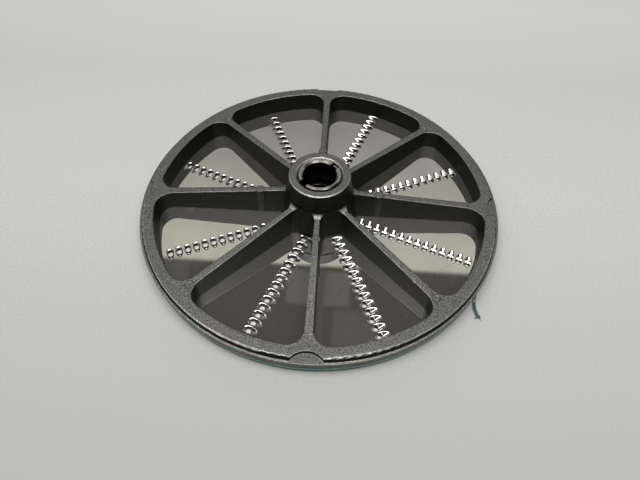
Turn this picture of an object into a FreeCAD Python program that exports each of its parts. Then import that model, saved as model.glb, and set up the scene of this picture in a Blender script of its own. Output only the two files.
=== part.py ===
import FreeCAD, Part
import math
import os
from FreeCAD import Vector

# Julienne disc of a vegetable cutter, lying with its cast frame up and its teeth down.
# The origin is on the disc's axis, on the plane that the tooth tips rest on. +Z is up.
# The four notched spokes lie on +X, +Y, -X and -Y, the four plain spokes between them.
# All sizes are millimetres and all angles are degrees.

# Rim of the casting: an upper ring that stands on a wider flange, and a foot under the flange
ring_diameter = 203.4
ring_step_depth = 2.7
ring_step_lean = 0.6
ledge_width = 1.0
rim_height = 11.4
rim_face_width = 6.4
rim_edge_rounding = 1.0
flange_lean = 0.7
foot_height = 4.0
foot_lean = 0.5
rim_wall_draft = 6.0

# Notches in the upper ring, one at the end of every second spoke
notch_radius = 10.2
notch_depth = 4.4

# Spokes, and the windows between them
spoke_count = 8
spoke_width_at_rim = 4.4
spoke_width_at_hub = 3.4
spoke_rise = 7.0
spoke_rise_radius = 91.0
spoke_draft = 2.5
window_corner_radius = 9.0
window_root_radius = 4.2
window_root_land = 0.4

# Marks left by the ejector pins of the mould
spoke_mark_diameter = 5.0
spoke_mark_radius = 34.3
spoke_mark_proud = 0.3
rim_mark_diameter = 4.6
rim_mark_radius = 90.0
rim_mark_depth = 0.3

# Hub of the casting
hub_top_diameter = 35.0
hub_height = 20.1
hub_draft = 5.5
hub_edge_rounding = 1.0
hub_root_rounding = 4.0
hub_mouth_gap = 0.6
hub_mouth_depth = 2.5
hub_mouth_chamfer = 0.8
hub_floor = 4.0

# Steel drive bush in the hub
bush_diameter = 23.8
bush_length = 17.0
bush_proud = 0.5
bush_bore_diameter = 19.2
bush_bore_depth = 11.5
bush_pilot_diameter = 16.0
bush_outer_chamfer = 0.6
bush_inner_chamfer = 1.0
bush_clearance = 0.05
slot_width = 5.2
slot_depth = 9.4
slot_angle = 40.5

# Stainless sheet with its turned edge
tray_diameter = 204.7
sheet_thickness = 0.8
edge_bend_radius = 0.4
edge_clearance = 0.1
edge_top_gap = 0.3

# Stamped teeth
tooth_pitch = 5.0
teeth_per_row = 14
row_ends = (90.1, 92.0, 87.8, 90.9, 89.9, 87.6, 88.8, 91.1)
row_turn = 1.1
tooth_height = 2.0
tooth_head = 2.8
tooth_tail = 6.0
tooth_half_width = 2.0
tail_half_width = 0.5
mouth_radius = 1.25
mouth_offset = 0.3
tooth_wall = 0.45
lip_drop = 0.6

# Protective film left on the turned edge
film_thickness = 0.15
film_margin = 0.5

# Levels, from the tooth tips upwards
sheet_bottom = tooth_height
sheet_top = sheet_bottom + sheet_thickness
rim_top = sheet_top + rim_height
ledge_level = rim_top - ring_step_depth
flange_bottom = sheet_top + foot_height
hub_top = rim_top + hub_height
bush_top = hub_top + bush_proud
bush_bottom = bush_top - bush_length

# Radii that follow from the sizes above
ring_radius = ring_diameter / 2
ring_foot_radius = ring_radius + ring_step_lean
flange_radius = ring_foot_radius + ledge_width
sheet_radius = tray_diameter / 2
foot_radius = sheet_radius - sheet_thickness - edge_clearance
bush_seat_radius = bush_diameter / 2 + bush_clearance
hub_mouth_radius = bush_diameter / 2 + hub_mouth_gap
spoke_step = 360.0 / spoke_count


def polar(radius, angle, z=0.0):
    """Point at a radius and an angle about the disc's axis."""
    turn = math.radians(angle)
    return Vector(radius * math.cos(turn), radius * math.sin(turn), z)


def section(points):
    """Closed face in the XZ plane from (radius, z) points; a point with a third value, the middle
    of an arc, turns the edge between its neighbours into that arc."""
    edges = []
    start = Vector(points[0][0], 0, points[0][1])
    middle = None
    for point in points[1:] + points[:1]:
        here = Vector(point[0], 0, point[1])
        if len(point) == 3:
            middle = here
            continue
        if middle is None:
            edges.append(Part.makeLine(start, here))
        else:
            edges.append(Part.Arc(start, middle, here).toShape())
        start = here
        middle = None
    return Part.Face(Part.Wire(edges))


def rounded(radius, z, rounding):
    """Three points of a section that rounds an outer upper corner."""
    inset = rounding * (1 - math.sqrt(0.5))
    return [(radius, z - rounding), (radius - inset, z - inset, "arc"), (radius - rounding, z)]


def blended(before, corner, after, rounding):
    """Three points of a section that rounds an inner corner between two straight stretches."""
    sides = []
    for end in (before, after):
        length = math.dist(corner, end)
        sides.append(((end[0] - corner[0]) / length, (end[1] - corner[1]) / length))
    (ax, az), (bx, bz) = sides
    half = math.acos(ax * bx + az * bz) / 2
    reach = rounding / math.tan(half)
    middle = rounding / math.sin(half) - rounding
    length = math.hypot(ax + bx, az + bz)
    return [
        (corner[0] + ax * reach, corner[1] + az * reach),
        (corner[0] + (ax + bx) / length * middle, corner[1] + (az + bz) / length * middle, "arc"),
        (corner[0] + bx * reach, corner[1] + bz * reach),
    ]


def turned(points):
    """Solid of revolution about the disc's axis."""
    return section(points).revolve(Vector(0, 0, 0), Vector(0, 0, 1), 360)


def hub_radius_at(z):
    """Outside radius of the tapered hub at a height."""
    return hub_top_diameter / 2 + (hub_top - z) * math.tan(math.radians(hub_draft))


def casting_blank():
    """The casting before its windows are opened: rim, shallow cone of the spoke tops, and hub."""
    spoke_top = rim_top + spoke_rise
    heel = edge_bend_radius + edge_clearance
    seat_floor = bush_bottom
    points = [
        (0, sheet_top),
        (foot_radius - heel, sheet_top),
        (foot_radius, sheet_top + heel),
        (foot_radius - foot_lean, flange_bottom),
        (flange_radius - flange_lean, flange_bottom),
        (flange_radius, ledge_level),
        (ring_foot_radius, ledge_level),
    ]
    points += rounded(ring_radius, rim_top, rim_edge_rounding)
    points.append((spoke_rise_radius, rim_top))
    points += blended(
        (spoke_rise_radius, rim_top),
        (hub_radius_at(spoke_top), spoke_top),
        (hub_top_diameter / 2, hub_top),
        hub_root_rounding,
    )
    points += rounded(hub_top_diameter / 2, hub_top, hub_edge_rounding)
    points += [
        (hub_mouth_radius + hub_mouth_chamfer, hub_top),
        (hub_mouth_radius, hub_top - hub_mouth_chamfer),
        (hub_mouth_radius, hub_top - hub_mouth_depth),
        (bush_seat_radius, hub_top - hub_mouth_depth),
        (bush_seat_radius, seat_floor),
        (bush_pilot_diameter / 2, seat_floor),
        (bush_pilot_diameter / 2, sheet_top + hub_floor),
        (0, sheet_top + hub_floor),
    ]
    return turned(points)


def spoke_side(z):
    """Start and direction of the window's side along the spoke, at half a step above the +X axis."""
    half_step = spoke_step / 2
    extra = (rim_top - z) * math.tan(math.radians(spoke_draft))
    across = polar(1, half_step + 90)
    hub_radius = hub_top_diameter / 2
    near = polar(hub_radius, half_step) - across * (spoke_width_at_hub / 2 + extra)
    far = polar(ring_radius, half_step) - across * (spoke_width_at_rim / 2 + extra)
    along = (far - near).normalize()
    return near, along


def fillet_centre(z, distance, reach, outer):
    """Centre of a fillet that touches the window's side and lies at a reach from the axis."""
    near, along = spoke_side(z)
    inward = Vector(along.y, -along.x, 0)
    base = near + inward * distance
    middle = -base.dot(along)
    half = math.sqrt(reach ** 2 - (base.dot(base) - middle ** 2))
    centre = base + along * (middle + half if outer else middle - half)
    if not outer and centre.x < 0:
        centre = base + along * (middle + half)
    return centre, centre - inward * distance


def window_wire(z):
    """Outline of the window on the +X axis, at a height; the walls' drafts make it wider upwards."""
    drop = rim_top - z
    outer = ring_radius - rim_face_width - drop * math.tan(math.radians(rim_wall_draft))
    inner = hub_radius_at(z) + window_root_land
    corner = window_corner_radius - drop * math.tan(math.radians(rim_wall_draft))
    corner_centre, corner_side = fillet_centre(z, corner, outer - corner, True)
    root_centre, root_side = fillet_centre(z, window_root_radius, inner + window_root_radius, True)
    corner_end = corner_centre * (outer / corner_centre.Length)
    root_end = root_centre * (inner / root_centre.Length)

    def bulge(centre, radius, a, b):
        chord = (a + b) * 0.5 - centre
        return centre + chord.normalize() * radius

    corner_mid = bulge(corner_centre, corner, corner_side, corner_end)
    root_mid = bulge(root_centre, window_root_radius, root_side, root_end)

    def mirrored(p):
        return Vector(p.x, -p.y, p.z)

    axis_outer = Vector(outer, 0, 0)
    axis_inner = Vector(inner, 0, 0)
    edges = [
        Part.Arc(mirrored(root_end), axis_inner, root_end).toShape(),
        Part.Arc(root_end, root_mid, root_side).toShape(),
        Part.makeLine(root_side, corner_side),
        Part.Arc(corner_side, corner_mid, corner_end).toShape(),
        Part.Arc(corner_end, axis_outer, mirrored(corner_end)).toShape(),
        Part.Arc(mirrored(corner_end), mirrored(corner_mid), mirrored(corner_side)).toShape(),
        Part.makeLine(mirrored(corner_side), mirrored(root_side)),
        Part.Arc(mirrored(root_side), mirrored(root_mid), mirrored(root_end)).toShape(),
    ]
    wire = Part.Wire(edges)
    wire.translate(Vector(0, 0, z))
    return wire


def window_cutters():
    """One drafted core for each window, which lies midway between two spokes."""
    low = sheet_top - 1
    high = rim_top + spoke_rise + 1
    core = Part.makeLoft([window_wire(low), window_wire(high)], True, True)
    cores = []
    for i in range(spoke_count):
        one = core.copy()
        one.rotate(Vector(0, 0, 0), Vector(0, 0, 1), (i + 0.5) * spoke_step)
        cores.append(one)
    return cores


def notch_cutters():
    """Half-round notches down to the ledge, at the ends of every second spoke."""
    height = rim_top - ledge_level + 1
    reach = ring_radius + notch_radius - notch_depth
    return [
        Part.makeCylinder(notch_radius, height, polar(reach, 2 * i * spoke_step, ledge_level))
        for i in range(spoke_count // 2)
    ]


def spoke_top_at(radius):
    """Height of a spoke's top face at a radius."""
    hub_side = hub_radius_at(rim_top + spoke_rise)
    share = (spoke_rise_radius - radius) / (spoke_rise_radius - hub_side)
    return rim_top + spoke_rise * share


def spoke_marks():
    """Round pads of the ejector pins on the notched spokes."""
    height = spoke_top_at(spoke_mark_radius) + spoke_mark_proud - sheet_top
    return [
        Part.makeCylinder(
            spoke_mark_diameter / 2, height, polar(spoke_mark_radius, 2 * i * spoke_step, sheet_top)
        )
        for i in range(spoke_count // 2)
    ]


def rim_marks():
    """Shallow round prints of the ejector pins at the outer ends of the plain spokes."""
    return [
        Part.makeCylinder(
            rim_mark_diameter / 2,
            spoke_rise,
            polar(rim_mark_radius, (2 * i + 1) * spoke_step, rim_top - rim_mark_depth),
        )
        for i in range(spoke_count // 2)
    ]


def cast_frame():
    """Rim, spokes and hub, cast in one piece."""
    body = casting_blank().cut(window_cutters())
    body = body.fuse(spoke_marks())
    body = body.cut(notch_cutters() + rim_marks())
    return body.removeSplitter()


def hub_bush():
    """Turned steel bush with two slots for the drive pin of the shaft."""
    outer = bush_diameter / 2
    bore = bush_bore_diameter / 2
    shoulder = bush_top - bush_bore_depth
    body = turned([
        (bush_pilot_diameter / 2, bush_bottom),
        (outer, bush_bottom),
        (outer, bush_top - bush_outer_chamfer),
        (outer - bush_outer_chamfer, bush_top),
        (bore + bush_inner_chamfer, bush_top),
        (bore, bush_top - bush_inner_chamfer),
        (bore, shoulder),
        (bush_pilot_diameter / 2, shoulder),
    ])
    slot = Part.makeBox(
        bush_diameter + 2, slot_width, slot_depth + 1,
        Vector(-bush_diameter / 2 - 1, -slot_width / 2, bush_top - slot_depth),
    )
    slot.rotate(Vector(0, 0, 0), Vector(0, 0, 1), slot_angle)
    return body.cut(slot)


def edge_top():
    """Height of the turned edge's upper end."""
    return flange_bottom - edge_top_gap


def lean_at(z):
    """How far the turned edge has leaned inwards at a height."""
    low = sheet_top + edge_bend_radius
    return foot_lean * (z - low) / (edge_top() - low)


def sheet_tray():
    """Flat disc with its edge turned up round the foot of the casting."""
    bend_in = edge_bend_radius
    bend_out = edge_bend_radius + sheet_thickness
    inside = sheet_radius - sheet_thickness
    low = sheet_top + bend_in
    slant = math.sqrt(0.5)
    centre = inside - bend_in
    return turned([
        (0, sheet_bottom),
        (centre, sheet_bottom),
        (centre + bend_out * slant, low - bend_out * slant, "arc"),
        (sheet_radius, low),
        (sheet_radius - foot_lean, edge_top()),
        (inside - foot_lean, edge_top()),
        (inside, low),
        (centre + bend_in * slant, low - bend_in * slant, "arc"),
        (centre, sheet_top),
        (0, sheet_top),
    ])


def ring_solid(upper, lower):
    """Closed solid between two outlines with as many points, from flat triangles."""
    count = len(upper)
    faces = [Part.Face(Part.makePolygon(upper + upper[:1])), Part.Face(Part.makePolygon(lower + lower[:1]))]
    for i in range(count):
        j = (i + 1) % count
        for corners in ((upper[i], upper[j], lower[j]), (upper[i], lower[j], lower[i])):
            faces.append(Part.Face(Part.makePolygon(list(corners) + [corners[0]])))
    solid = Part.makeSolid(Part.makeShell(faces))
    if solid.Volume < 0:
        solid.reverse()
    return solid


def mirrored_outline(half):
    """Whole outline of a tooth from the half on one side of its middle line."""
    return half + [(u, -v) for u, v in reversed(half)]


def tooth_outline(z, extra):
    """Drop-shaped outline: round head with the mouth, and a tail that narrows."""
    half = [
        (-tooth_head - extra, tooth_half_width * 0.5),
        (-tooth_head * 0.35, tooth_half_width + extra),
        (tooth_tail * 0.45, tooth_half_width * 0.8 + extra),
        (tooth_tail + extra, tail_half_width),
    ]
    return [Vector(v, u, z) for u, v in mirrored_outline(half)]


def mouth_outline(extra, sink):
    """Round mouth on a slanted plane; its tail side reaches the tooth's tip, its head side is higher."""
    radius = mouth_radius + extra
    slope = (sheet_bottom - lip_drop) / (2 * (mouth_radius + tooth_wall))
    half = [
        (-radius, radius * 0.4),
        (-radius * 0.4, radius),
        (radius * 0.4, radius),
        (radius, radius * 0.4),
    ]
    tip = mouth_radius + tooth_wall
    return [
        Vector(v, u + mouth_offset, (tip - u) * slope - sink) for u, v in mirrored_outline(half)
    ]


def tooth_forms():
    """Outside and hollow of one tooth, with its mouth on the X axis and its tail towards +Y."""
    overlap = sheet_thickness / 2
    outside = ring_solid(tooth_outline(sheet_bottom + overlap, 0.0), mouth_outline(tooth_wall, 0.0))
    hollow = ring_solid(tooth_outline(sheet_top, 0.0), mouth_outline(0.0, tooth_wall))
    return outside, hollow


def tooth_places():
    """Radius and angle of each tooth; every row ends at its own radius, so that the cuts are spread."""
    places = []
    for row, end in enumerate(row_ends):
        angle = (row + 0.5) * spoke_step + row_turn
        for i in range(teeth_per_row):
            places.append((end - i * tooth_pitch, angle))
    return places


def grater_sheet():
    """Stainless sheet with its stamped teeth, which stand out on the side away from the casting."""
    outside, hollow = tooth_forms()
    bumps = []
    hollows = []
    for radius, angle in tooth_places():
        for form, group in ((outside, bumps), (hollow, hollows)):
            one = form.copy()
            one.translate(Vector(radius, 0, 0))
            one.rotate(Vector(0, 0, 0), Vector(0, 0, 1), angle)
            group.append(one)
    body = sheet_tray().fuse(bumps)
    return body.cut(hollows).removeSplitter()


def edge_film():
    """Thin band of protective film that still sticks to the outside of the turned edge."""
    low = sheet_top + edge_bend_radius + film_margin
    high = edge_top() - film_margin
    inner_low = sheet_radius - lean_at(low)
    inner_high = sheet_radius - lean_at(high)
    return turned([
        (inner_low, low),
        (inner_low + film_thickness, low),
        (inner_high + film_thickness, high),
        (inner_high, high),
    ])


def main():
    os.makedirs("parts", exist_ok=True)
    pieces = {
        "cast_frame": cast_frame(),
        "hub_bush": hub_bush(),
        "grater_sheet": grater_sheet(),
        "edge_film": edge_film(),
    }
    for name, shape in pieces.items():
        box = shape.BoundBox
        print(name, len(shape.Solids), "solid", shape.isValid(), round(shape.Volume, 1), "mm3",
              round(box.ZMin, 3), round(box.ZMax, 3))
        shape.exportStep(f"parts/{name}.step")


main()
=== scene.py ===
"""Julienne disc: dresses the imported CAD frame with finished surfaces, stamped teeth and a studio."""
import math

import bmesh
import bpy
from mathutils import Euler, Matrix, Vector


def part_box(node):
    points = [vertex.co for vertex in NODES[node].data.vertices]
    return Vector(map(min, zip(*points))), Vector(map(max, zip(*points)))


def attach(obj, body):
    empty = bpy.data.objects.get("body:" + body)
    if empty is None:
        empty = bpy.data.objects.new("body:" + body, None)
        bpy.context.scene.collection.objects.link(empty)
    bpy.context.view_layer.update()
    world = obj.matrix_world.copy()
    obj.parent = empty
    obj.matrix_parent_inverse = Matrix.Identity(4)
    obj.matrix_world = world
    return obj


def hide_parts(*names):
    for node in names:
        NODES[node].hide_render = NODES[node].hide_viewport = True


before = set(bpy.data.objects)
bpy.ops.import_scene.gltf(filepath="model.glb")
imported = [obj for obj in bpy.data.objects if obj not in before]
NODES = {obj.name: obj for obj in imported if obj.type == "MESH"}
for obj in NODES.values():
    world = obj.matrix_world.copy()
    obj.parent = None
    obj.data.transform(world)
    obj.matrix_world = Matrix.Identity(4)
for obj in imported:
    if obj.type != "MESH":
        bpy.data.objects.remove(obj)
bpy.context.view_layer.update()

MM = 0.001

bl_info = {
    "name": "Julienne disc",
    "version": (1, 0, 0),
    "blender": (4, 5, 0),
    "location": "3D View > Sidebar > Julienne disc",
    "description": "Builds the cast frame, the drive bush, the grater sheet and its film",
    "category": "Object",
}

# Distances at which points of the CAD nodes and of the drawn sheet are merged, and how well the
# normals of triangles agree, as a cosine, where they belong to one flat patch
NODE_MERGE = 1e-6
SHEET_MERGE = 1e-5
SAME_PATCH = 0.99998

# Outer radius of the sheet and top of its turned edge, in metres, read from the CAD node
SHEET_RADIUS, _, EDGE_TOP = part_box("grater_sheet")[1]

# Section of the turned edge: how far it leans in, radius of its bend and size of its broken corners
EDGE_LEAN = 0.5 * MM
EDGE_BEND = 0.4 * MM
EDGE_BREAK = 0.15 * MM

# Rows of teeth, with the angle of the first window's middle and the angle from row to row, in degrees
ROW_COUNT = 8
FIRST_ROW = 22.5
ROW_STEP = 45.0

# Points round a tooth and round the sheet
TOOTH_STEPS = 24
SHEET_STEPS = 288

# Outline of a tooth on the sheet: half its width as a share of the full width, the power that
# makes its sides fuller than a circle's, how much it narrows towards the tail, and the place of its mouth
OUTLINE_WIDTH = 0.58
OUTLINE_POWER = 0.85
OUTLINE_TAPER = 0.34
MOUTH_MIDDLE = 0.2 * MM

# How quickly the fall changes from the sides to the head and to the tail
HEAD_POWER = 0.4
TAIL_POWER = 5

# Rings of a tooth: place between the sheet, at 0, and the lip, at 1, with the share of the fall
# there at the head, at the sides and along the tail
TOOTH_RINGS = (
    (0.0, 0.0, 0.0, 0.0),
    (0.12, 0.003, 0.005, 0.06),
    (0.25, 0.014, 0.02, 0.15),
    (0.38, 0.032, 0.047, 0.25),
    (0.5, 0.057, 0.085, 0.34),
    (0.62, 0.09, 0.14, 0.43),
    (0.73, 0.131, 0.22, 0.51),
    (0.83, 0.179, 0.35, 0.58),
    (0.92, 0.235, 0.6, 0.66),
    (0.98, 0.3, 0.88, 0.75),
    (1.0, 1.0, 1.0, 1.0),
)

# Marks of the ejector pins: distance of their middles from the disc's axis, and their radius
PAD_REACH, PAD_RADIUS = 34.3 * MM, 2.5 * MM
PRINT_REACH, PRINT_RADIUS = 90.0 * MM, 2.3 * MM

# Torn strip of film, in millimetres: points of its middle line, its width there, and the torn tips
# as steps from the last point but one
SHRED_PATH = (
    (86.9, -53.4, 4.2), (87.0, -54.6, 2.4), (86.6, -56.6, 1.1), (86.4, -60.6, 1.0),
    (87.1, -63.6, 0.9), (87.9, -65.2, 0.8), (89.0, -66.4, 0.9),
)
SHRED_WIDTH = (1.8, 1.6, 1.4, 1.9, 2.1, 2.0, 0.9)
SHRED_TIPS = ((3.6, -0.3, 0.3), (2.0, -3.9, 0.0), (-3.6, -2.4, 0.0))
# How far one border of the strip is tilted, in turn down and up, and the strip's thickness in metres
SHRED_WAVE = (-0.15, 0.35)
SHRED_THICKNESS = 0.1 * MM

# Where the finishes and the painted light and shade change, in metres, from none to full: radii from the
# disc's axis
RIM_EDGE = (97.0 * MM, 98.5 * MM)
FLANGE = (102.4 * MM, 102.8 * MM)
BEND_SHADE_REACH = (100.6 * MM, 101.0 * MM)
LOOSE_FILM = (102.8 * MM, 103.4 * MM)
UNDER_DISC_LIGHT = (96.0 * MM, 94.0 * MM)
# The same for heights above the table
HUB_EDGE = (31.0 * MM, 32.0 * MM)
BORE_SHADE = (33.3 * MM, 34.1 * MM)
FOOT_SHADE = (3.9 * MM, 3.5 * MM)
BEND_SHADE_HEIGHT = (3.65 * MM, 3.45 * MM)
TOOTH_WALL_SHADE = (2.6 * MM, 2.3 * MM)
UPPER_FILM = (5.0 * MM, 5.4 * MM)
# Distance at which the outline of a pin's mark fades in, and radius of the casting's rounded edges, with
# their painted highlights and shade
PIN_LINE = (0.3 * MM, 0.12 * MM)
EDGE_ROUNDING = 0.8 * MM

# Stage, in metres, with the camera's sensor in millimetres
TABLE_RADIUS = 0.65
TABLE_STEPS = 96
LAMP_PLACE = (0.0, -0.28, 1.2)
LAMP_SIZE = (1.2, 0.7)
SENSOR_WIDTH = 36.0
NEAREST_SEEN = 0.01

# What the polished sheet mirrors, by the direction of the mirrored ray: dim towards the front and
# above, pale towards the back, with bright areas at the front corners and at the left
DIM_FRONT, DIM_ABOVE = (0.006, 0.005, 0.004), (0.052, 0.048, 0.040)
PALE_LOW, PALE_HIGH = (0.58, 0.575, 0.52), (0.31, 0.31, 0.30)
BRIGHT = (1.05, 1.02, 0.97)
BACKDROP = (0.60, 0.60, 0.61)
# Rise towards the back of the plane that parts the dim from the pale, and softness of the borders
PALE_SLOPE = 1.45
PATCH_BORDER = 0.006
# Patches in the dim part: limits of the direction's x and y, and the colour
PATCHES = (
    (-0.085, 0.034, 0.505, 0.562, (0.111, 0.113, 0.096)),
    (-0.030, -0.012, 0.440, 0.562, (0.073, 0.071, 0.061)),
    (0.000, 0.085, 0.300, 0.505, (0.089, 0.083, 0.071)),
    (-0.400, -0.250, 0.400, 0.560, (0.083, 0.078, 0.074)),
)


class TeethSettings(bpy.types.PropertyGroup):
    """Sizes of the stamped teeth and of the sheet that carries them."""

    pitch: bpy.props.FloatProperty(
        name="Pitch", description="Distance between the teeth of a row", default=5.0 * MM, unit="LENGTH"
    )
    count: bpy.props.IntProperty(name="Teeth in a row", description="Number of teeth in a row", default=14)
    row_turn: bpy.props.FloatProperty(
        name="Turn", description="Turn of the rows against the middles of the windows",
        default=math.radians(1.1), subtype="ANGLE",
    )
    row_ends: bpy.props.FloatVectorProperty(
        name="Row ends", description="Radius of the last tooth of each row", size=ROW_COUNT, unit="LENGTH",
        default=[r * MM for r in (90.1, 92.0, 87.8, 90.9, 89.9, 87.6, 88.8, 91.1)],
    )
    thickness: bpy.props.FloatProperty(
        name="Sheet thickness", description="Thickness of the stainless sheet",
        default=0.8 * MM, unit="LENGTH",
    )
    height: bpy.props.FloatProperty(
        name="Tooth height", description="How far the teeth stand below the sheet",
        default=2.0 * MM, unit="LENGTH",
    )
    head: bpy.props.FloatProperty(
        name="Head", description="Reach of a tooth's round head from its mouth line",
        default=2.35 * MM, unit="LENGTH",
    )
    tail: bpy.props.FloatProperty(
        name="Tail", description="Reach of a tooth's tail from its mouth line",
        default=6.0 * MM, unit="LENGTH",
    )
    width: bpy.props.FloatProperty(
        name="Width", description="Full width of a tooth", default=4.6 * MM, unit="LENGTH"
    )
    mouth: bpy.props.FloatProperty(
        name="Mouth radius", description="Radius of a tooth's mouth", default=1.4 * MM, unit="LENGTH"
    )
    lip_rise: bpy.props.FloatProperty(
        name="Lip rise", description="How much higher the lip stands at the head",
        default=0.35 * MM, unit="LENGTH",
    )
    wall: bpy.props.FloatProperty(
        name="Tooth wall", description="Thickness of the drawn wall at the mouth",
        default=0.4 * MM, unit="LENGTH",
    )


class FinishSettings(bpy.types.PropertyGroup):
    """Colours of the finishes."""

    casting: bpy.props.FloatVectorProperty(
        name="Casting", description="Colour of the tumbled aluminium",
        subtype="COLOR", default=(0.134, 0.132, 0.123),
    )
    stainless: bpy.props.FloatVectorProperty(
        name="Stainless", description="Colour of the polished sheet",
        subtype="COLOR", default=(0.74, 0.72, 0.67),
    )
    bush: bpy.props.FloatVectorProperty(
        name="Bush", description="Colour of the turned steel",
        subtype="COLOR", default=(0.60, 0.58, 0.54),
    )
    film: bpy.props.FloatVectorProperty(
        name="Film", description="Colour of the protective film",
        subtype="COLOR", default=(0.065, 0.175, 0.155),
    )
    table: bpy.props.FloatVectorProperty(
        name="Table", description="Colour of the table top",
        subtype="COLOR", default=(0.610, 0.621, 0.597),
    )


class StageSettings(bpy.types.PropertyGroup):
    """Place of the camera and strength of the lamp."""

    camera_place: bpy.props.FloatVectorProperty(
        name="Camera", description="Place of the camera",
        unit="LENGTH", default=(0.01052, -0.21578, 0.25783),
    )
    camera_target: bpy.props.FloatVectorProperty(
        name="Target", description="Point of the table that the camera looks at",
        unit="LENGTH", default=(0.00166, -0.01968, 0.0),
    )
    camera_roll: bpy.props.FloatProperty(
        name="Roll", description="Turn of the camera about its view",
        default=math.radians(1.053), subtype="ANGLE",
    )
    focal_length: bpy.props.FloatProperty(
        name="Focal length", description="Focal length on a 36 mm wide sensor, in millimetres",
        default=31.306,
    )
    lamp_power: bpy.props.FloatProperty(
        name="Overhead lamp", description="Power of the overhead soft box", default=14.0, unit="POWER"
    )


def settings():
    """The three groups of settings on the scene."""
    scene = bpy.context.scene
    return scene.disc_teeth, scene.disc_finish, scene.disc_stage


# Node helpers


class Nodes:
    """Small builder for the trees of materials, of the world and of the rows of teeth."""

    def __init__(self, tree):
        self.tree = tree
        self.tree.nodes.clear()

    def node(self, kind, **values):
        """New node with its properties set."""
        made = self.tree.nodes.new(kind)
        for key, value in values.items():
            setattr(made, key, value)
        return made

    def link(self, source, target):
        """Line from an output to an input."""
        self.tree.links.new(source, target)

    def fill(self, socket, value):
        """Links a socket or sets its constant."""
        if isinstance(value, bpy.types.NodeSocket):
            self.link(value, socket)
        elif isinstance(value, tuple):
            socket.default_value = (*value, 1.0)
        else:
            socket.default_value = value

    def math(self, kind, first, second=0.0):
        """Result of one step of arithmetic."""
        made = self.node("ShaderNodeMath", operation=kind)
        self.fill(made.inputs[0], first)
        self.fill(made.inputs[1], second)
        return made.outputs[0]

    def joined(self, kind, first, *others):
        """Sum, product or the like of any number of values."""
        for other in others:
            first = self.math(kind, first, other)
        return first

    def length(self, first, second):
        """Length of the line with these two parts."""
        squares = [self.math("MULTIPLY", part, part) for part in (first, second)]
        return self.math("SQRT", self.math("ADD", *squares))

    def ramp(self, source, low, high, start=0.0, end=1.0):
        """Straight change from start to end while the source goes from low to high."""
        made = self.node("ShaderNodeMapRange")
        for key, value in (("From Min", low), ("From Max", high), ("To Min", start), ("To Max", end)):
            made.inputs[key].default_value = value
        self.link(source, made.inputs["Value"])
        return made.outputs["Result"]

    def inside(self, *limits):
        """One where all the ramps are full; a limit holds a source and its values at 0 and at 1."""
        return self.joined("MULTIPLY", *[self.ramp(*limit) for limit in limits])

    def mix(self, factor, first, second):
        """First colour where the factor is 0, second where it is 1."""
        made = self.node("ShaderNodeMix", data_type="RGBA")
        self.link(factor, made.inputs["Factor"])
        self.fill(made.inputs[6], first)
        self.fill(made.inputs[7], second)
        return made.outputs[2]

    def split(self, vector):
        """The three parts of a vector."""
        made = self.node("ShaderNodeSeparateXYZ")
        self.link(vector, made.inputs[0])
        return made.outputs[0], made.outputs[1], made.outputs[2]

    def vector(self, x=0.0, z=0.0):
        """Vector from its first and third parts."""
        made = self.node("ShaderNodeCombineXYZ")
        self.fill(made.inputs["X"], x)
        self.fill(made.inputs["Z"], z)
        return made.outputs[0]

    def noise(self, scale, detail, rough, coords):
        """Noise between about 0.2 and 0.8."""
        made = self.node("ShaderNodeTexNoise")
        made.inputs["Scale"].default_value = scale
        made.inputs["Detail"].default_value = detail
        made.inputs["Roughness"].default_value = rough
        self.link(coords, made.inputs["Vector"])
        return made.outputs["Fac"]


class Shader(Nodes):
    """One procedural material on Object coordinates."""

    def __init__(self, name):
        self.material = bpy.data.materials.new(name)
        self.material.use_nodes = True
        super().__init__(self.material.node_tree)
        output = self.node("ShaderNodeOutputMaterial")
        self.surface = self.node("ShaderNodeBsdfPrincipled")
        self.link(self.surface.outputs[0], output.inputs["Surface"])
        self.place = self.node("ShaderNodeTexCoord").outputs["Object"]

    def set(self, **values):
        """Sets or links inputs of the surface, with an underscore for a space."""
        for key, value in values.items():
            self.fill(self.surface.inputs[key.replace("_", " ")], value)

    def grain(self, scale, detail=2.0, rough=0.5, stretch=None):
        """Noise on the object, stretched where wanted."""
        coords = self.place
        if stretch:
            made = self.node("ShaderNodeMapping")
            made.inputs["Scale"].default_value = stretch
            self.link(self.place, made.inputs["Vector"])
            coords = made.outputs["Vector"]
        return self.noise(scale, detail, rough, coords)

    def reach(self):
        """Distance from the disc's axis."""
        x, y, _ = self.split(self.place)
        return self.length(x, y)

    def true_normal(self):
        """Normal of the mesh."""
        return self.node("ShaderNodeNewGeometry").outputs["Normal"]

    def rounded(self, radius):
        """Normal with the edges rounded off."""
        edge = self.node("ShaderNodeBevel", samples=4)
        edge.inputs["Radius"].default_value = radius
        return edge.outputs[0]

    def bump(self, height, strength, distance, normal=None):
        """Relief too fine for the mesh."""
        made = self.node("ShaderNodeBump")
        made.inputs["Strength"].default_value = strength
        made.inputs["Distance"].default_value = distance
        self.link(height, made.inputs["Height"])
        if normal:
            self.link(normal, made.inputs["Normal"])
        self.link(made.outputs[0], self.surface.inputs["Normal"])


def tinted(colour, factor):
    """A lighter or darker shade of a colour."""
    return tuple(min(1.0, c * factor) for c in colour)


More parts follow.
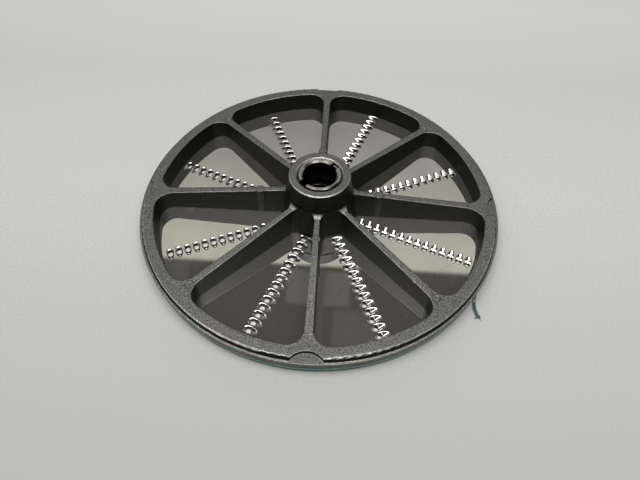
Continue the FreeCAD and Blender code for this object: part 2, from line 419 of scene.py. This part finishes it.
def pin_marks(s):
    """Dark outlines of the ejector pins' pads on the notched spokes and prints at the plain spokes' ends."""
    x, y, _ = s.split(s.place)
    x, y = s.math("ABSOLUTE", x), s.math("ABSOLUTE", y)
    slant = PRINT_REACH * math.sqrt(0.5)
    pad = s.math("SUBTRACT", s.math("MAXIMUM", x, y), PAD_REACH), s.math("MINIMUM", x, y)
    mark = s.math("SUBTRACT", x, slant), s.math("SUBTRACT", y, slant)
    lines = []
    for (along, across), radius in ((pad, PAD_RADIUS), (mark, PRINT_RADIUS)):
        away = s.math("ABSOLUTE", s.math("SUBTRACT", s.length(along, across), radius))
        lines.append(s.ramp(away, *PIN_LINE, 0.0, 0.75))
    return s.math("MAXIMUM", *lines)


def painted_edge_light_and_shade(s, soft, reach):
    """Where the casting's edges get painted highlights, on those that face the front, and painted shade, on
    those that face the back.
    """
    _, back, up = s.split(soft)
    height = s.split(s.place)[2]
    bent = s.node("ShaderNodeVectorMath", operation="DOT_PRODUCT")
    s.link(s.true_normal(), bent.inputs[0])
    s.link(soft, bent.inputs[1])
    same = bent.outputs["Value"]
    dark = s.inside((same, 0.985, 0.9), (back, -0.05, 0.12))
    sharp = s.inside((same, 0.99, 0.9), (up, 0.5, 0.8))
    # the modelled rounding of the rim and of the hub, and more weakly that of the spokes' roots
    round_edge = s.inside((up, 0.985, 0.93), (up, 0.6, 0.8))
    outer = s.math("MAXIMUM", s.ramp(reach, *RIM_EDGE), s.ramp(height, *HUB_EDGE))
    round_edge = s.math("MULTIPLY", round_edge, s.math("MAXIMUM", outer, 0.35))
    bright = s.math("MULTIPLY", s.math("MAXIMUM", sharp, round_edge), s.ramp(back, 0.1, -0.15))
    return bright, dark


def cast_aluminium():
    """Tumbled aluminium casting: sandy grey, with painted highlights on its edges that face the front and
    painted shade on its steep walls, on its edges that face the back and at its foot.
    """
    colour = settings()[1].casting
    s = Shader("cast_aluminium")
    soft = s.rounded(EDGE_ROUNDING)
    reach = s.reach()
    height = s.split(s.place)[2]
    sand = s.grain(1750.0, 2.0, 0.7)
    pits = s.grain(800.0, 3.0, 0.75)
    top = s.mix(s.ramp(sand, 0.36, 0.68), tinted(colour, 0.25), tinted(colour, 2.6))
    top = s.mix(s.ramp(pits, 0.52, 0.72, 0.0, 0.35), top, tinted(colour, 2.2))
    top = s.mix(s.ramp(pits, 0.5, 0.3, 0.0, 0.45), top, tinted(colour, 0.3))
    # painted shade on the steep walls; the flange's outer wall is left out of it and keeps the top's tone
    wall = s.mix(s.ramp(sand, 0.36, 0.66), tinted(colour, 0.03), tinted(colour, 0.1))
    flange = s.ramp(reach, *FLANGE, 0.0, 0.75)
    tone = s.mix(s.math("MAXIMUM", s.ramp(s.split(soft)[2], 0.5, 0.88), flange), wall, top)
    # painted shade on the foot, down where the sheet's edge closes round it
    tone = s.mix(s.ramp(height, *FOOT_SHADE), tone, (0.002, 0.002, 0.002))
    # painted shade on the edges that face the back, and painted highlights with a sandy sparkle on those
    # that face the front
    bright, dark = painted_edge_light_and_shade(s, soft, reach)
    bright = s.math("MULTIPLY", bright, s.ramp(sand, 0.35, 0.6, 0.35, 1.0))
    tone = s.mix(dark, tone, tinted(colour, 0.12))
    tone = s.mix(bright, tone, tinted(colour, 5.4))
    tone = s.mix(pin_marks(s), tone, tinted(colour, 0.2))
    s.set(
        Base_Color=tone,
        Metallic=s.ramp(bright, 0.0, 1.0, 0.6, 1.0),
        Roughness=s.math("SUBTRACT", s.ramp(sand, 0.3, 0.7, 0.6, 0.36), s.math("MULTIPLY", bright, 0.2)),
        Specular_IOR_Level=0.15,
    )
    s.bump(s.math("ADD", sand, s.math("MULTIPLY", pits, 0.5)), 1.0, 0.2 * MM, soft)
    return s.material


def turned_steel():
    """Bored and faced steel with fine turning rings, with painted shade down in the bore."""
    colour = settings()[1].bush
    s = Shader("turned_steel")
    height = s.split(s.place)[2]
    rings = s.grain(9000.0, 1.0, 0.5, (0.02, 0.02, 1.0))
    tone = s.mix(s.ramp(s.grain(220.0), 0.3, 0.7), tinted(colour, 0.85), tinted(colour, 1.12))
    # painted shade down in the bore
    tone = s.mix(s.ramp(height, *BORE_SHADE), (0.03, 0.027, 0.025), tone)
    s.set(Base_Color=tone, Metallic=1.0, Roughness=s.ramp(rings, 0.3, 0.7, 0.22, 0.36))
    s.bump(rings, 0.12, 0.04 * MM)
    return s.material


def polished_stainless():
    """Mirror-polished sheet with rolling lines, smears, scratches, specks and a slight waviness, and painted
    shade on the teeth's steep walls and on the bend under the turned edge.
    """
    colour = settings()[1].stainless
    s = Shader("polished_stainless")
    height = s.split(s.place)[2]
    smear = s.grain(38.0, 3.0, 0.6)
    rolling = s.grain(500.0, 1.0, 0.5, (1.0, 0.03, 1.0))
    thread = s.math("ABSOLUTE", s.math("SUBTRACT", s.grain(26.0, 1.0, 0.5, (1.0, 0.35, 1.0)), 0.5))
    haze = s.joined(
        "ADD",
        s.ramp(smear, 0.3, 0.8, 0.0, 0.05),
        s.ramp(rolling, 0.3, 0.8, 0.0, 0.02),
        s.math("MULTIPLY", s.ramp(thread, 0.0, 0.0016, 0.3, 0.0), s.ramp(s.grain(33.0), 0.55, 0.62)),
        s.ramp(s.grain(1300.0, 1.0), 0.79, 0.83, 0.0, 0.35),
    )
    tone = s.mix(s.ramp(smear, 0.35, 0.75), tuple(colour), tinted(colour, 0.9))
    # painted shade on the teeth's steep walls, below the sheet's upper side
    level = s.math("ABSOLUTE", s.split(s.true_normal())[2])
    tone = s.mix(s.inside((level, 0.55, 0.3), (height, *TOOTH_WALL_SHADE)), tone, (0.03, 0.028, 0.026))
    # painted shade on the bend, below the turned edge
    bend = s.inside((s.reach(), *BEND_SHADE_REACH), (height, *BEND_SHADE_HEIGHT))
    tone = s.mix(bend, tone, (0.012, 0.013, 0.013))
    s.set(Base_Color=tone, Metallic=0.95, Roughness=haze)
    s.bump(s.grain(16.0, 1.0, 0.4), 0.05, 0.6 * MM)
    return s.material


def protective_film():
    """Wrinkled film: dark green-blue with painted highlights as paler streaks where it lifts off the steel
    in wrinkles.
    """
    colour = settings()[1].film
    s = Shader("protective_film")
    height = s.split(s.place)[2]
    wrinkle = s.grain(420.0, 3.0, 0.6, (1.0, 1.0, 2.5))
    tone = s.mix(s.ramp(s.grain(60.0), 0.4, 0.7), tuple(colour), (0.16, 0.27, 0.24))
    # painted highlights on the wrinkles
    tone = s.mix(s.ramp(wrinkle, 0.55, 0.75), tone, (0.30, 0.40, 0.36))
    upper = s.ramp(height, *UPPER_FILM)
    loose = s.ramp(s.reach(), *LOOSE_FILM, 0.0, 0.7)
    tone = s.mix(s.math("MAXIMUM", upper, loose), tone, tinted(colour, 0.25))
    s.set(Base_Color=tone, Roughness=0.28, IOR=1.5)
    s.bump(wrinkle, 0.5, 0.4 * MM)
    return s.material


def table_top():
    """Pale matt table with a fine grain, with painted shade in front and painted light, a little cooler, at
    the back.
    """
    colour = settings()[1].table
    s = Shader("table_top")
    y = s.split(s.place)[1]
    tone = s.mix(s.ramp(s.grain(1000.0, 2.0, 0.7), 0.3, 0.6), tinted(colour, 0.78), tinted(colour, 1.07))
    tone = s.mix(s.ramp(s.grain(7.0), 0.3, 0.7, 0.0, 0.4), tone, tinted(colour, 0.95))
    # painted shade towards the front and painted light towards the back
    tone = s.mix(s.ramp(y, 0.02, -0.16, 0.0, 0.9), tone, tinted(colour, 0.73))
    tone = s.mix(s.ramp(y, 0.14, 0.24), tone, (colour[0] * 1.12, colour[1] * 1.1, colour[2] * 1.15))
    # lighter under the disc, where no light falls: painted light that shows through the teeth's holes
    tone = s.mix(s.ramp(s.reach(), *UNDER_DISC_LIGHT), tone, (0.80, 0.79, 0.76))
    s.set(Base_Color=tone, Roughness=0.75)
    return s.material


# Mesh helpers


def finished(obj, material, slot_name, *nodes):
    """Gives a piece its finish and its place in the frame."""
    obj.data.materials.clear()
    obj.data.materials.append(material)
    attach(obj, "root")
    if nodes:
        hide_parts(*nodes)


def object_from(mesh_data, name):
    """New mesh object in the scene."""
    mesh = bpy.data.meshes.new(name)
    mesh_data.normal_update()
    mesh_data.to_mesh(mesh)
    mesh_data.free()
    obj = bpy.data.objects.new(name, mesh)
    bpy.context.scene.collection.objects.link(obj)
    return obj


def flat_patches(data):
    """Number of the flat patch of every face, and the area of every patch."""
    number = [-1] * len(data.faces)
    areas = []
    for seed in data.faces:
        if number[seed.index] >= 0:
            continue
        patch = len(areas)
        number[seed.index] = patch
        waiting = [seed]
        area = 0.0
        while waiting:
            face = waiting.pop()
            area += face.calc_area()
            for edge in face.edges:
                for other in edge.link_faces:
                    if number[other.index] < 0 and other.normal.dot(seed.normal) > SAME_PATCH:
                        number[other.index] = patch
                        waiting.append(other)
        areas.append(area)
    return number, areas


def smooth_shaded(mesh, angle):
    """Smooth shading up to the angle, in degrees, in which wide flat patches keep their own normal."""
    for polygon in mesh.polygons:
        polygon.use_smooth = True
    data = bmesh.new()
    data.from_mesh(mesh)
    data.normal_update()
    data.faces.ensure_lookup_table()
    number, areas = flat_patches(data)
    limit = math.cos(math.radians(angle))
    normals = []
    for face in data.faces:
        for loop in face.loops:
            around = {}
            for other in loop.vert.link_faces:
                if other.normal.dot(face.normal) > limit:
                    around[number[other.index]] = other.normal
            total = Vector((0.0, 0.0, 0.0))
            for patch, normal in around.items():
                total += normal * areas[patch]
            normals.append(total.normalized())
    data.free()
    mesh.normals_split_custom_set(normals)


def merged_copy(node, name, angle):
    """Copy of a CAD node with its triangles joined, so that it can be shaded smooth."""
    data = bmesh.new()
    data.from_mesh(NODES[node].data)
    bmesh.ops.remove_doubles(data, verts=data.verts, dist=NODE_MERGE)
    obj = object_from(data, name)
    smooth_shaded(obj.data, angle)
    return obj


def lip_slope(teeth):
    """Rise of the lip per length, from the tail's side to the head's."""
    return teeth.lip_rise / (2 * (teeth.mouth + teeth.wall))


def tooth_ring(share, teeth):
    """Points of one ring of a tooth, from the outline on the sheet, at 0, to the mouth, at 1."""
    middle = (teeth.tail - teeth.head) / 2
    reach = (teeth.tail + teeth.head) / 2
    tip = teeth.mouth + teeth.wall
    points = []
    for i in range(TOOTH_STEPS):
        a = 2 * math.pi * i / TOOTH_STEPS
        behind = (1 - math.cos(a)) / 2
        wide = math.copysign(abs(math.sin(a)) ** OUTLINE_POWER, math.sin(a))
        outline_u = middle - reach * math.cos(a)
        outline_v = OUTLINE_WIDTH * teeth.width * wide * (1 - OUTLINE_TAPER * behind)
        mouth_u = MOUTH_MIDDLE - teeth.mouth * math.cos(a)
        mouth_v = teeth.mouth * math.sin(a)
        u = outline_u + (mouth_u - outline_u) * share
        v = outline_v + (mouth_v - outline_v) * share
        lip = (tip - (mouth_u - MOUTH_MIDDLE)) * lip_slope(teeth)
        points.append((u, v, lip))
    return points


def tooth_fall(i, head, side, tail):
    """Share of the fall to the lip at point i: the head's roll, the sides or the slope of the tail."""
    ahead = math.cos(2 * math.pi * i / TOOTH_STEPS)
    wall = side + (head - side) * max(0.0, ahead) ** HEAD_POWER
    return wall + (tail - wall) * ((1 - ahead) / 2) ** TAIL_POWER


def join_rings(data, rings):
    """Faces between neighbouring rings of as many points."""
    for first, second in zip(rings, rings[1:]):
        for i in range(len(first)):
            j = (i + 1) % len(first)
            data.faces.new((first[i], first[j], second[j], second[i]))


def tooth_piece(teeth):
    """One stamped tooth: hollow side, cut lip and outer side."""
    data = bmesh.new()
    high = teeth.height + teeth.thickness
    low = teeth.height
    rings = []
    for share, *falls in TOOTH_RINGS:
        ring = []
        for i, (u, v, lip) in enumerate(tooth_ring(share, teeth)):
            ring.append((v, u, high + (lip - high) * tooth_fall(i, *falls)))
        rings.append(ring)
    mouth = tooth_ring(1.0, teeth)
    centre = sum(u for u, _, _ in mouth) / TOOTH_STEPS
    grow = 1 + teeth.wall / teeth.mouth
    outer = []
    for u, v, lip in mouth:
        outer_u = centre + (u - centre) * grow
        outer.append((v * grow, outer_u, lip - (outer_u - u) * lip_slope(teeth)))
    rings.append(outer)
    edge = tooth_ring(0.0, teeth)
    for share, *falls in TOOTH_RINGS[-2::-2]:
        ring = []
        for i, ((u0, v0, _), (v1, u1, z1)) in enumerate(zip(edge, outer)):
            z = low + (z1 - low) * tooth_fall(i, *falls)
            ring.append((v0 + (v1 - v0) * share, u0 + (u1 - u0) * share, z))
        rings.append(ring)
    rings.append([(v, u, low) for u, v, _ in edge])
    join_rings(data, [[data.verts.new(point) for point in ring] for ring in rings])
    return object_from(data, "tooth")


def window_middle(row):
    """Angle of the middle of a row's window, in radians."""
    return math.radians(FIRST_ROW + ROW_STEP * row)


def quarter(radius, steps, start, end):
    """Points of a quarter circle below its centre, between two angles in degrees from straight down."""
    points = []
    for i in range(steps + 1):
        a = math.radians(start + (end - start) * i / steps)
        points.append((radius * math.sin(a), -radius * math.cos(a)))
    return points


def edge_profile(teeth):
    """Section of the sheet's turned edge, from its upper side round to its lower side, in metres."""
    wall = teeth.thickness
    centre = SHEET_RADIUS - wall - EDGE_BEND
    level = teeth.height + wall + EDGE_BEND
    inner = SHEET_RADIUS - wall - EDGE_LEAN
    outer = SHEET_RADIUS - EDGE_LEAN
    points = [(centre + x, level + z) for x, z in quarter(EDGE_BEND, 4, 0, 90)]
    points += [(inner, EDGE_TOP - EDGE_BREAK), (inner + EDGE_BREAK, EDGE_TOP)]
    points += [(outer - EDGE_BREAK, EDGE_TOP), (outer, EDGE_TOP - EDGE_BREAK)]
    return points + [(centre + x, level + z) for x, z in quarter(EDGE_BEND + wall, 6, 90, 0)]


def sheet_plate(teeth):
    """The flat sheet with an opening at every tooth, and its turned edge."""
    data = bmesh.new()
    rings = []
    for radius, z in edge_profile(teeth):
        angles = [2 * math.pi * i / SHEET_STEPS for i in range(SHEET_STEPS)]
        rings.append([data.verts.new((radius * math.cos(a), radius * math.sin(a), z)) for a in angles])
    join_rings(data, rings)
    outline = tooth_ring(0.0, teeth)
    for level, rim in ((teeth.height + teeth.thickness, rings[0]), (teeth.height, rings[-1])):
        edges = [data.edges.get(pair) for pair in zip(rim, rim[1:] + rim[:1])]
        for row in range(ROW_COUNT):
            turn = Matrix.Rotation(window_middle(row) + teeth.row_turn, 3, "Z")
            for k in range(teeth.count):
                r = teeth.row_ends[row] - k * teeth.pitch
                loop = [data.verts.new(turn @ Vector((r + v, u, level))) for u, v, _ in outline]
                edges += [data.edges.new(pair) for pair in zip(loop, loop[1:] + loop[:1])]
        bmesh.ops.triangle_fill(data, use_beauty=True, use_dissolve=False, edges=edges)
    return object_from(data, "sheet_plate")


def row_end(row):
    """Name of the input with a row's last radius."""
    return f"Row end {row + 1}"


def teeth_tree(tooth, material):
    """Geometry Nodes tree that sets the rows of teeth, with the identifiers of its named inputs."""
    tree = bpy.data.node_groups.new("Rows of teeth", "GeometryNodeTree")
    tree.interface.new_socket(name="Geometry", in_out="OUTPUT", socket_type="NodeSocketGeometry")
    kinds = {"Pitch": "NodeSocketFloat", "Count": "NodeSocketInt", "Turn": "NodeSocketFloat"}
    kinds.update({row_end(row): "NodeSocketFloat" for row in range(ROW_COUNT)})
    identifiers = {}
    for name, kind in kinds.items():
        socket = tree.interface.new_socket(name=name, in_out="INPUT", socket_type=kind)
        identifiers[name] = socket.identifier
    n = Nodes(tree)
    given = n.node("NodeGroupInput").outputs
    source = n.node("GeometryNodeObjectInfo")
    source.inputs["Object"].default_value = tooth
    inward = n.vector(x=n.math("MULTIPLY", given["Pitch"], -1.0))
    rows = n.node("GeometryNodeJoinGeometry")
    for row in range(ROW_COUNT):
        line = n.node("GeometryNodeMeshLine", mode="OFFSET")
        n.link(given["Count"], line.inputs["Count"])
        n.link(n.vector(x=given[row_end(row)]), line.inputs["Start Location"])
        n.link(inward, line.inputs["Offset"])
        placed = n.node("GeometryNodeInstanceOnPoints")
        n.link(line.outputs["Mesh"], placed.inputs["Points"])
        n.link(source.outputs["Geometry"], placed.inputs["Instance"])
        turned = n.node("GeometryNodeTransform")
        n.link(placed.outputs["Instances"], turned.inputs["Geometry"])
        n.link(n.vector(z=n.math("ADD", given["Turn"], window_middle(row))), turned.inputs["Rotation"])
        n.link(turned.outputs["Geometry"], rows.inputs["Geometry"])
    real = n.node("GeometryNodeRealizeInstances")
    n.link(rows.outputs["Geometry"], real.inputs["Geometry"])
    finish = n.node("GeometryNodeSetMaterial")
    finish.inputs["Material"].default_value = material
    n.link(real.outputs["Geometry"], finish.inputs["Geometry"])
    n.link(finish.outputs["Geometry"], n.node("NodeGroupOutput").inputs["Geometry"])
    return tree, identifiers


def rows_of_teeth(teeth, material):
    """All teeth as one plain mesh."""
    tooth = tooth_piece(teeth)
    holder = bpy.data.objects.new("teeth_holder", bpy.data.meshes.new("teeth_holder"))
    bpy.context.scene.collection.objects.link(holder)
    tree, identifiers = teeth_tree(tooth, material)
    modifier = holder.modifiers.new("Teeth", "NODES")
    modifier.node_group = tree
    modifier[identifiers["Pitch"]] = teeth.pitch
    modifier[identifiers["Count"]] = teeth.count
    modifier[identifiers["Turn"]] = teeth.row_turn
    for row in range(ROW_COUNT):
        modifier[identifiers[row_end(row)]] = teeth.row_ends[row]
    graph = bpy.context.evaluated_depsgraph_get()
    mesh = bpy.data.meshes.new_from_object(holder.evaluated_get(graph))
    if not mesh.polygons:
        raise RuntimeError("The rows of teeth came out empty")
    bpy.data.objects.remove(holder)
    bpy.data.objects.remove(tooth)
    return mesh


def film_shred(material):
    """Torn strip of film that hangs off the edge and curls onto the table at the right front."""
    data = bmesh.new()
    last = len(SHRED_PATH) - 1
    pairs = []
    for i, (point, width) in enumerate(zip(SHRED_PATH, SHRED_WIDTH)):
        here = Vector(point)
        ahead = Vector(SHRED_PATH[min(i + 1, last)]) - Vector(SHRED_PATH[max(i - 1, 0)])
        half = ahead.cross(Vector((0, 0, 1))).normalized() * width / 2
        tilt = Vector((0, 0, SHRED_WAVE[i % 2]))
        pairs.append((data.verts.new((here + half + tilt) * MM), data.verts.new((here - half) * MM)))
    for (left, right), (next_left, next_right) in zip(pairs, pairs[1:]):
        data.faces.new((left, next_left, next_right, right))
    base = Vector(SHRED_PATH[-2])
    for k, step in enumerate(SHRED_TIPS):
        tip = data.verts.new((base + Vector(step)) * MM)
        a = data.verts.new((base + Vector((0.6, -0.3 * k, 0))) * MM)
        b = data.verts.new((base + Vector((-0.6, 0.4, 0.1))) * MM)
        data.faces.new((a, b, tip))
    obj = object_from(data, "film_shred")
    thick = obj.modifiers.new("Thickness", "SOLIDIFY")
    thick.thickness = SHRED_THICKNESS
    thick.offset = 0.0
    soft = obj.modifiers.new("Smooth", "SUBSURF")
    soft.levels = soft.render_levels = 2
    smooth_shaded(obj.data, angle=80)
    finished(obj, material, "film")


class DISC_OT_casting(bpy.types.Operator):
    """Finishes the cast frame"""

    bl_idname = "disc.casting"
    bl_label = "Cast frame"

    def execute(self, context):
        obj = merged_copy("cast_frame", "cast_frame_finished", angle=38)
        finished(obj, cast_aluminium(), "cast_aluminium", "cast_frame")
        return {"FINISHED"}


class DISC_OT_bush(bpy.types.Operator):
    """Finishes the drive bush"""

    bl_idname = "disc.bush"
    bl_label = "Drive bush"

    def execute(self, context):
        obj = merged_copy("hub_bush", "hub_bush_finished", angle=30)
        finished(obj, turned_steel(), "bush_steel", "hub_bush")
        return {"FINISHED"}


class DISC_OT_sheet(bpy.types.Operator):
    """Builds the sheet with its turned edge and its rows of stamped teeth"""

    bl_idname = "disc.sheet"
    bl_label = "Grater sheet"

    def execute(self, context):
        teeth = settings()[0]
        material = polished_stainless()
        plate = sheet_plate(teeth)
        data = bmesh.new()
        data.from_mesh(plate.data)
        data.from_mesh(rows_of_teeth(teeth, material))
        bpy.data.objects.remove(plate)
        bmesh.ops.remove_doubles(data, verts=data.verts, dist=SHEET_MERGE)
        bmesh.ops.recalc_face_normals(data, faces=data.faces)
        obj = object_from(data, "grater_sheet_finished")
        smooth_shaded(obj.data, angle=38)
        finished(obj, material, "polished_stainless", "grater_sheet")
        return {"FINISHED"}


class DISC_OT_film(bpy.types.Operator):
    """Builds the rest of the protective film and its torn shred"""

    bl_idname = "disc.film"
    bl_label = "Protective film"

    def execute(self, context):
        material = protective_film()
        obj = merged_copy("edge_film", "edge_film_finished", angle=40)
        finished(obj, material, "film", "edge_film")
        film_shred(material)
        return {"FINISHED"}


def overhead_lamp(power):
    """Soft box above the front edge of the table, aimed at the disc."""
    data = bpy.data.lights.new("overhead", "AREA")
    data.shape = "RECTANGLE"
    data.size, data.size_y = LAMP_SIZE
    data.energy = power
    lamp = bpy.data.objects.new("overhead", data)
    bpy.context.scene.collection.objects.link(lamp)
    lamp.location = LAMP_PLACE
    lamp.rotation_euler = (-Vector(LAMP_PLACE)).to_track_quat("-Z", "Y").to_euler()


def studio_world():
    """Plain backdrop for the camera, and for all other rays the light and dark that the sheet mirrors."""
    world = bpy.data.worlds.new("studio")
    bpy.context.scene.world = world
    world.use_nodes = True
    n = Nodes(world.node_tree)
    x, y, z = n.split(n.node("ShaderNodeTexCoord").outputs["Generated"])
    above = n.math("SUBTRACT", n.math("MULTIPLY", y, PALE_SLOPE), z)
    pale = n.mix(n.ramp(above, 0.05, 0.42), PALE_LOW, PALE_HIGH)
    dim = n.mix(n.ramp(y, -0.25, 0.1), DIM_FRONT, DIM_ABOVE)
    # the bright areas, at both front corners and at the left
    sides = n.math("MAXIMUM", n.ramp(x, 0.16, 0.24), n.ramp(x, -0.26, -0.34))
    front = n.inside((n.math("ABSOLUTE", x), 0.62, 0.54), (y, -0.16, -0.22), (z, 0.42, 0.5))
    left = n.inside((x, -0.46, -0.54), (y, -0.34, -0.28), (y, 0.2, 0.14), (z, 0.44, 0.5))
    dim = n.mix(n.math("MAXIMUM", n.math("MULTIPLY", sides, front), left), dim, BRIGHT)
    for x0, x1, y0, y1, tone in PATCHES:
        patch = n.inside(
            (x, x0, x0 + PATCH_BORDER), (x, x1, x1 - PATCH_BORDER),
            (y, y0, y0 + PATCH_BORDER), (y, y1, y1 - PATCH_BORDER), (z, 0.6, 0.7),
        )
        dim = n.mix(patch, dim, tone)
    mirrored = n.node("ShaderNodeBackground")
    n.link(n.mix(n.ramp(above, -PATCH_BORDER, PATCH_BORDER), dim, pale), mirrored.inputs["Color"])
    seen = n.node("ShaderNodeBackground")
    n.fill(seen.inputs["Color"], BACKDROP)
    blend = n.node("ShaderNodeMixShader")
    n.link(n.node("ShaderNodeLightPath").outputs["Is Camera Ray"], blend.inputs[0])
    n.link(mirrored.outputs[0], blend.inputs[1])
    n.link(seen.outputs[0], blend.inputs[2])
    n.link(blend.outputs[0], n.node("ShaderNodeOutputWorld").inputs["Surface"])


def disc_camera(stage):
    """Camera at the photo's place."""
    lens = bpy.data.cameras.new("camera")
    lens.sensor_width = SENSOR_WIDTH
    lens.lens = stage.focal_length
    lens.clip_start = NEAREST_SEEN
    camera = bpy.data.objects.new("camera", lens)
    bpy.context.scene.collection.objects.link(camera)
    camera.location = stage.camera_place
    look = Vector(stage.camera_target) - Vector(stage.camera_place)
    turn = look.to_track_quat("-Z", "Y").to_matrix() @ Euler((0, 0, stage.camera_roll)).to_matrix()
    camera.rotation_euler = turn.to_euler()
    return camera


class DISC_OT_stage(bpy.types.Operator):
    """Sets the table, the lamp, the world and the camera"""

    bl_idname = "disc.stage"
    bl_label = "Stage"

    def execute(self, context):
        stage = settings()[2]
        data = bmesh.new()
        bmesh.ops.create_circle(data, cap_ends=True, segments=TABLE_STEPS, radius=TABLE_RADIUS)
        table = object_from(data, "table")
        table.data.materials.append(table_top())
        overhead_lamp(stage.lamp_power)
        studio_world()
        context.scene.camera = disc_camera(stage)
        context.scene.view_settings.view_transform = "Standard"
        return {"FINISHED"}


class DISC_PT_panel(bpy.types.Panel):
    """Lists the pieces of the disc and their settings"""

    bl_idname = "DISC_PT_panel"
    bl_label = "Julienne disc"
    bl_space_type = "VIEW_3D"
    bl_region_type = "UI"
    bl_category = "Julienne disc"

    def draw(self, context):
        for group in settings():
            for key in group.__annotations__:
                self.layout.prop(group, key)
        for operator in OPERATORS:
            self.layout.operator(operator.bl_idname)


OPERATORS = (DISC_OT_casting, DISC_OT_bush, DISC_OT_sheet, DISC_OT_film, DISC_OT_stage)
GROUPS = (TeethSettings, FinishSettings, StageSettings)


def register():
    """Registers the settings, the operators and the panel."""
    for item in GROUPS + OPERATORS + (DISC_PT_panel,):
        bpy.utils.register_class(item)
    bpy.types.Scene.disc_teeth = bpy.props.PointerProperty(type=TeethSettings)
    bpy.types.Scene.disc_finish = bpy.props.PointerProperty(type=FinishSettings)
    bpy.types.Scene.disc_stage = bpy.props.PointerProperty(type=StageSettings)


def unregister():
    """Removes what register added."""
    del bpy.types.Scene.disc_stage
    del bpy.types.Scene.disc_finish
    del bpy.types.Scene.disc_teeth
    for item in reversed(GROUPS + OPERATORS + (DISC_PT_panel,)):
        bpy.utils.unregister_class(item)


def main():
    """Builds every piece."""
    register()
    bpy.ops.disc.casting()
    bpy.ops.disc.bush()
    bpy.ops.disc.sheet()
    bpy.ops.disc.film()
    bpy.ops.disc.stage()


if __name__ == "__main__":
    main()
